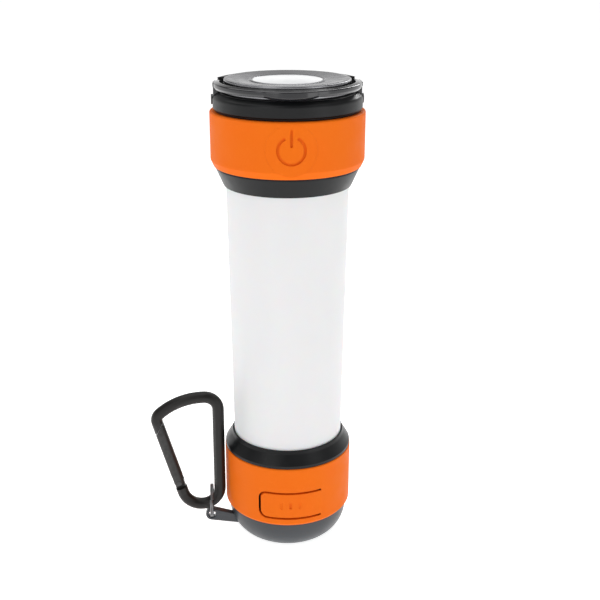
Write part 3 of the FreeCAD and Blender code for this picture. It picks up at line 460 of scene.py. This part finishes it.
# ---------------------------------------------------------------- base
def base_cap():
    """Bowl with a flat foot and three screw recesses."""
    low, high = corners("base_cap")
    foot = 14.8
    rim = high.x - 0.1
    bulge = 11.0
    wall = 2.0
    floor = 2.2
    outline = [(0.0, low.z), *arc((foot, low.z), (rim, high.z), bulge), (rim, high.z),
               (rim - wall, high.z), (foot - 0.6, floor), (0.0, floor)]
    screw_head = 2.2
    recess_radius = 2.5
    recess_top = 1.25
    circle_radius = corners("base_screws")[1].y - screw_head
    recesses = []
    for index in range(3):
        angle = math.radians(90 + 120 * index)
        centre = (circle_radius * math.cos(angle), circle_radius * math.sin(angle))
        recesses.append(prism("z", circle(centre, recess_radius, 48), -1.0, recess_top))
    piece("base_cap_bowl", cut(turned(outline), *recesses), "torch", CAP_PLASTIC,
          ["base_cap"], edge=0.12)


def lanyard_lug():
    """Lug from the cap to the ring, a tapering plate with an eye."""
    eye_x, eye_y, eye_z = [value / MM for value in joint("ring_swing")["pos_m"]]
    lean = math.radians(12)
    along = Vector((math.cos(lean), -math.sin(lean)))
    across = Vector((math.sin(lean), math.cos(lean)))
    eye = Vector((eye_x, eye_z))
    end = eye + along * 11.2
    eye_radius = 2.3
    bore_radius = 1.3
    half_arm = 1.5
    half_thick = 1.2
    outline = [tuple(end + across * half_arm)]
    first = math.atan2(across.y, across.x)
    outline += [tuple(eye + eye_radius * Vector((math.cos(first + math.pi * step / 24),
                                                 math.sin(first + math.pi * step / 24))))
                for step in range(25)]
    outline.append(tuple(end - across * half_arm))
    plate = prism("y", outline, eye_y - half_thick, eye_y + half_thick)
    bore = prism("y", circle(eye, bore_radius, 48), eye_y - 3, eye_y + 3)
    piece("lanyard_lug", cut(plate, bore), "torch", CAP_PLASTIC,
          ["base_cap"], edge=0.3)


def flap_window(left, right, low, high, corner):
    """Prism through the lower band; its two left-hand corners are rounded."""
    outline = rounded([(left, low, corner), (right, low), (right, high), (left, high, corner)])
    return prism("y", outline, -BEYOND, -5.0)


def lower_band():
    """Silicone sleeve with the flap's window."""
    low, high = corners("lower_band")
    flap_low, flap_high = corners("port_flap")
    slit = 0.7
    outer = high.x
    inner = outer - BAND_WALL
    sleeve = turned(rounded([
        (inner, low.z), (outer - 0.7, low.z, 0.25), (outer, low.z + 0.9, 0.6),
        (outer, high.z, 0.55), (inner, high.z)]))
    window = flap_window(flap_low.x - slit, flap_high.x + 0.15, flap_low.z - slit,
                         flap_high.z + slit, 2.8)
    piece("lower_band_skin", cut(sleeve, window), "torch", ORANGE,
          ["lower_band"], edge=0.1)


def port_flap():
    """Curved lid with three shallow grip bars and a plug behind it."""
    low, high = corners("port_flap")
    outer = corners("lower_band")[1].x
    inner = outer - BAND_WALL
    shell = turned([(inner, low.z - 1), (outer, low.z - 1), (outer, high.z + 1),
                    (inner, high.z + 1)])
    lid = shared(shell, flap_window(low.x, high.x, low.z, high.z, 2.2))
    plug = block((-8.5, 8.1), (-20.5, -18.3), (16.1, 23.0))
    grip_low, grip_high = 18.4, 20.7
    grip_half = 0.4
    grip_depth = 0.42
    corner = 0.35
    grips = []
    for x in (-3.2, 0.0, 3.2):
        slot = rounded([(x - grip_half, grip_low, corner), (x + grip_half, grip_low, corner),
                        (x + grip_half, grip_high, corner), (x - grip_half, grip_high, corner)])
        grips.append(prism("y", slot, -BEYOND, -outer + grip_depth))
    relief = block((8.6, 12.0), (-19.2, -10.0), (10.0, 30.0))
    piece("port_flap_lid", cut(fused(lid, plug), *grips, relief), "flap", ORANGE,
          ["port_flap"], edge=0.1)


def flap_hinge():
    """Thin silicone web over the hinge line."""
    low, high = corners("port_flap")
    outer = corners("lower_band")[1].x
    rings = []
    columns = 24
    back = outer - 0.3
    start, end = high.x - 1.2, high.x + 1.3
    for column in range(columns + 1):
        share = column / columns
        x = start + (end - start) * share
        crown = 0.03 - 0.12 * (2 * share - 1) ** 2
        ring = []
        for r, z in ((outer + crown, low.z + 0.1), (outer + crown, high.z - 0.1),
                     (back, high.z - 0.1), (back, low.z + 0.1)):
            ring.append((x, -math.sqrt(r * r - x * x), z))
        rings.append(ring)
    web = piece("flap_hinge_web", skinned(rings, False), None, ORANGE)
    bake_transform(web)


def lower_collar():
    """Cone with a soft lip that the tube stands in."""
    low, high = corners("lower_collar")
    lip = high.x
    seat = corners("diffuser_tube")[0].z - 0.8
    throat = 19.05
    shelf = corners("lower_band")[1].z + 0.1
    skirt_bore, skirt = 16.4, 18.1
    floor_bore = 10.4
    underside = 34.6
    piece("lower_collar_cone", turned(rounded([
        (skirt_bore, low.z), (skirt, low.z), (skirt, shelf), (lip, shelf, 0.15),
        (lip, shelf + 1.0, 0.45), (throat + 0.9, high.z - 1.1, 0.8), (throat + 0.5, high.z, 0.2),
        (throat, high.z), (throat, seat), (floor_bore, seat), (floor_bore, underside),
        (skirt_bore, underside)])),
        "torch", SATIN_BLACK, ["lower_collar"])


# ---------------------------------------------------------------- tube and head
def diffuser():
    """Frosted tube, slightly wider at the head."""
    low, high = corners("diffuser_tube")
    wide = high.x
    narrow = 18.87
    wall = 1.8
    piece("diffuser_skin", turned(rounded([
        (narrow - wall, low.z), (narrow, low.z, 0.3), (wide, high.z, 0.3),
        (wide - wall, high.z)])), "torch", FROSTED, ["diffuser_tube"])


def head_collar():
    """Cone from the tube out to the head."""
    low, high = corners("head_collar")
    seat = 20.42
    shoulder = corners("upper_band")[0].z - 0.1
    spigot, spigot_bore = 20.7, 18.9
    floor_bore = 10.4
    floor_low, floor_high = 131.4, 133.2
    piece("head_collar_cone", turned(rounded([
        (seat, low.z, 0.1), (seat + 0.5, low.z, 0.2), (high.x, shoulder - 0.5, 0.5),
        (high.x - 0.1, shoulder), (spigot, shoulder), (spigot, high.z), (spigot_bore, high.z),
        (spigot_bore, floor_high), (floor_bore, floor_high), (floor_bore, floor_low),
        (seat, floor_low)])),
        "torch", SATIN_BLACK, ["head_collar"])


def upper_band():
    """Silicone sleeve of the head with the round opening for the button."""
    low, high = corners("upper_band")
    outer = high.x
    inner = outer - BAND_WALL
    sleeve = turned(rounded([
        (inner, low.z), (outer - 1.0, low.z, 0.4), (outer, low.z + 2.2, 1.0),
        (outer, high.z, 0.6), (inner, high.z)]))
    opening = prism("y", circle((0, button_centre()), BUTTON_RADIUS), -BEYOND, -10.0)
    piece("upper_band_skin", cut(sleeve, opening), "torch", ORANGE,
          ["upper_band"], edge=0.012)


def button_centre():
    """Height of the power button's centre."""
    low, high = corners("power_button")
    return (low.z + high.z) / 2


def power_mark():
    """Cutters for the on-off mark: an open ring and a bar through its gap."""
    middle = button_centre()
    gap = math.radians(27)
    steps = 64
    sweep = [math.pi / 2 + gap + (math.tau - 2 * gap) * step / steps for step in range(steps + 1)]
    outside, inside = 4.6, 3.72
    outer = [(outside * math.cos(a), middle + outside * math.sin(a)) for a in sweep]
    inner = [(inside * math.cos(a), middle + inside * math.sin(a)) for a in reversed(sweep)]
    half = 0.42
    corner = 0.4
    foot, top = middle + 1.0, middle + 6.3
    bar = rounded([(-half, foot, corner), (half, foot, corner),
                   (half, top, corner), (-half, top, corner)])
    return [outer + inner, bar]


def power_button():
    """Soft pad flush with the band; the mark is sunk in it."""
    head = corners("upper_band")[1].x
    middle = button_centre()
    back = corners("power_button")[1].y
    depth = 0.6
    low, high = middle - 12, middle + 12
    pad_radius = 7.985
    pad = shared(prism("y", circle((0, middle), pad_radius), -BEYOND, back), drum(head, low, high))
    strokes = [cut(prism("y", outline, -BEYOND, -20.0), drum(head - depth, low, high))
               for outline in power_mark()]
    piece("power_button_pad", cut(pad, *strokes), "button", ORANGE,
          ["power_button"], edge=0.012)


def head_housing():
    """Satin housing with recesses for the bail's ears and a well for the button."""
    low, high = corners("head_housing")
    wall = high.x
    seat = corners("upper_band")[1].x - 2.0
    band_top = corners("upper_band")[1].z
    top = 157.8
    bore = 19.4
    skirt_bore = 20.85
    ledge_bore = 13.5
    ledge_low, ledge_high = 139.9, 141.7
    shell = turned(rounded([
        (skirt_bore, low.z), (seat, low.z), (seat, band_top + 0.05), (wall - 0.7, band_top + 0.1),
        (wall - 0.7, band_top + 0.7), (wall, band_top + 1.0, 0.2), (wall, 156.5, 1.3),
        (wall - 1.7, top, 0.6), (bore, top), (bore, ledge_high), (ledge_bore, ledge_high),
        (ledge_bore, ledge_low), (skirt_bore, ledge_low)]))
    middle = button_centre()
    well, stem_hole = 8.25, 3.2
    tools = [prism("y", circle((0, middle), well), -BEYOND, -21.1),
             prism("y", circle((0, middle), stem_hole, 48), -BEYOND, -16.0)]
    recess_wall = 21.2
    recess_floor = 152.9
    for side in (-1, 1):
        span = sorted((recess_wall * side, BEYOND * side))
        tools.append(block(span, (-3.2, 6.6), (recess_floor, top + 7)))
    piece("head_housing_shell", cut(shell, *tools), "torch", SATIN_BLACK,
          ["head_housing"], edge=0.18)


def guard_ring():
    """Fixed rear half of the hoop, which the folded bail lines up with."""
    outer = 23.6
    inner = 21.5
    root = 157.3
    top = corners("head_housing")[1].z
    hoop = turned(rounded([
        (inner, root), (outer, root), (outer, top, 0.7), (inner, top, 0.5)]))
    front = block((-BEYOND, BEYOND), (-BEYOND, 7.6), (150.0, 170.0))
    piece("guard_ring", cut(hoop, front), "torch", SATIN_BLACK,
          ["head_housing"], edge=0.35)


def hanging_bail():
    """Half hoop with a finger tab that swells out of its middle, and two ears."""
    high = corners("hanging_bail")[1]
    pivot = joint("bail_swing")["pos_m"][2] / MM
    outer = high.x
    inner = outer - 2.1
    bottom = 158.9
    tab_half = 8.5
    tab_reach = 0.98
    tab_drop = 0.88
    end_angle = math.pi / 2 + math.asin(EAR_HALF / outer)
    columns = 160
    rings = []
    for column in range(columns + 1):
        angle = end_angle * (2 * column / columns - 1)
        across = abs(outer * math.sin(angle))
        swell = 0.0
        if across < tab_half and abs(angle) < 1:
            swell = math.cos(across / tab_half * math.pi / 2) ** 0.8
        tip = outer + tab_reach * swell
        sill = bottom - tab_drop * swell
        section = rounded([
            (inner, bottom, 0.5), (outer - 0.4, sill, 0.35), (tip, sill + 0.8, 0.35),
            (tip - 0.3 * swell, high.z - 0.5, 0.5), (inner, high.z, 0.45)])
        rings.append([(r * math.sin(angle), -r * math.cos(angle), z) for r, z in section])
    hoop = skinned(rings, False)
    ears = []
    for side in (-1, 1):
        span = sorted((inner * side, outer * side))
        outline = [(EAR_HALF, high.z - 0.6), (-EAR_HALF, high.z - 0.6)]
        outline += [(EAR_HALF * math.cos(math.pi + math.pi * step / 32),
                     pivot + EAR_HALF * math.sin(math.pi + math.pi * step / 32))
                    for step in range(33)]
        ears.append(prism("x", outline, *span))
    pin_bore = 1.05
    bores = [prism("x", circle((0, pivot), pin_bore, 48), *sorted((15 * side, BEYOND * side)))
             for side in (-1, 1)]
    piece("bail_hoop", cut(fused(hoop, *ears), *bores), "bail", GLOSS_BLACK,
          ["hanging_bail"], edge=0.22)


def bezel():
    """Polished ring with a dished face round the lens."""
    low, high = corners("bezel")
    flange = high.x
    rim = 20.25
    window = 11.25
    foot = 158.0
    underside = 159.9
    rib_inner, rib_outer = 13.0, 14.4
    rib_low = 155.0
    skirt_bore, skirt = 17.3, 19.2
    piece("bezel_ring", turned(rounded([
        (window, underside), (rib_inner, underside), (rib_inner, rib_low), (rib_outer, rib_low),
        (rib_outer, underside), (skirt_bore, underside), (skirt_bore, low.z), (skirt, low.z),
        (skirt, foot), (flange, foot, 0.15), (flange, foot + 0.9, 0.3),
        (rim + 0.1, foot + 1.3, 0.3), (rim, high.z - 0.1, 0.45), (rim - 1.3, high.z - 0.02, 0.3),
        (window + 1.2, high.z - 0.65, 0.5), (window + 0.6, high.z - 0.4, 0.2),
        (window, high.z - 0.5, 0.15)])),
        "torch", BEZEL, ["bezel"])


def lens():
    """Opal disc with a low crown and a flange that the bezel holds."""
    low, high = corners("lens")
    edge = 11.15
    rise = 0.4
    shoulder = 159.7
    crown = (edge ** 2 + rise ** 2) / (2 * rise)
    outline = [(0.0, low.z), (high.x, low.z), (high.x, shoulder), (edge, shoulder)]
    outline += arc((edge, high.z - rise), (0.0, high.z), crown)
    outline.append((0.0, high.z))
    piece("lens_disc", turned(outline), "torch", OPAL, ["lens"])


def split_ring():
    """Two turns of flattened wire side by side, as a real split ring has."""
    low, high = corners("split_ring")
    centre = (low + high) / 2
    wire = (high.x - low.x) / 2
    mean = (high.z - low.z) / 2 - wire
    steps = 320
    half = wire * 0.48
    deep = wire * 0.85
    corner = half * 0.7
    section = rounded([(-half, -deep, corner), (half, -deep, corner),
                       (half, deep, corner), (-half, deep, corner)])
    first_end = math.radians(150)
    steepness = 9                # how sharply the wire crosses from one turn to the other
    rings = []
    for step in range(steps + 1):
        turn = 2 * step / steps
        angle = math.tau * turn + first_end
        shift = max(-1.0, min(1.0, (turn - 1) * steepness)) * wire * 0.5
        rings.append([(centre.x + shift + x, centre.y + (mean + r) * math.cos(angle),
                       centre.z + (mean + r) * math.sin(angle)) for x, r in section])
    piece("split_ring_coil", skinned(rings, False), "ring", RING, ["split_ring"])


# ---------------------------------------------------------------- studio
def soft_light(name, place, target, size, power, height=None):
    """A rectangular softbox that looks at a point; lengths in millimetres."""
    data = bpy.data.lights.new(name, "AREA")
    data.shape = "RECTANGLE"
    data.size = size * MM
    data.size_y = (height or size) * MM
    data.energy = power
    light = bpy.data.objects.new(name, data)
    light.location = Vector(place) * MM
    light.rotation_euler = (Vector(target) - Vector(place)).to_track_quat("-Z", "Y").to_euler()
    bpy.context.scene.collection.objects.link(light)


def white_surround():
    """World light that is white round the horizon and dim overhead."""
    world = bpy.data.worlds.new("studio")
    world.use_nodes = True
    nodes = world.node_tree.nodes
    links = world.node_tree.links
    direction = nodes.new("ShaderNodeSeparateXYZ")
    links.new(nodes.new("ShaderNodeTexCoord").outputs["Generated"], direction.inputs["Vector"])
    fade = nodes.new("ShaderNodeMapRange")
    for socket, value in (("From Min", 0.12), ("From Max", 0.42), ("To Min", 1.0), ("To Max", 0.16)):
        fade.inputs[socket].default_value = value
    links.new(direction.outputs["Z"], fade.inputs["Value"])
    links.new(fade.outputs["Result"], nodes["Background"].inputs["Strength"])
    nodes["Background"].inputs["Color"].default_value = (1, 1, 1, 1)
    bpy.context.scene.world = world


def studio():
    """Pale floor, white surround and softboxes."""
    size = 6000 * MM
    mesh = bmesh.new()
    bmesh.ops.create_grid(mesh, x_segments=1, y_segments=1, size=size)
    floor = as_object("floor", mesh)
    paint = Finish("floor_paper", (0.93, 0.93, 0.93), 0.8)
    paint.grain(paint.noise(1.5), 0.01)
    paint.set(Emission_Color=(1, 1, 1, 1), Emission_Strength=0.80)
    floor.data.materials.append(paint.material)
    floor.location.z = -0.05 * MM
    white_surround()
    middle = (0, 0, 85)
    soft_light("key", (-330, -430, 420), middle, 300, 0.6, 420)
    soft_light("fill", (420, -360, 240), middle, 260, 0.4, 460)
    soft_light("top", (-60, 120, 700), (0, 0, 130), 900, 3.4)
    soft_light("streak", (230, 430, 430), (0, 0, 160), 110, 0.7, 260)


def camera():
    """The photograph's view: in front, a little to the left, looking down."""
    distance = 321.2
    height = 204.0
    pitch = math.radians(20)
    orbit = math.radians(-2.8)
    data = bpy.data.cameras.new("camera")
    data.lens = 60
    data.sensor_width = 36
    data.shift_x = 0.0208
    data.clip_start = 0.01
    obj = bpy.data.objects.new("camera", data)
    obj.location = Vector((distance * math.sin(orbit), -distance * math.cos(orbit), height)) * MM
    obj.rotation_euler = (math.pi / 2 - pitch, 0, orbit)
    bpy.context.scene.collection.objects.link(obj)
    bpy.context.scene.camera = obj


bpy.context.scene.view_settings.view_transform = "Standard"
camera()
studio()
carried_over()
base_cap()
lanyard_lug()
lower_band()
port_flap()
flap_hinge()
lower_collar()
diffuser()
head_collar()
upper_band()
power_button()
head_housing()
guard_ring()
hanging_bail()
bezel()
lens()
split_ring()
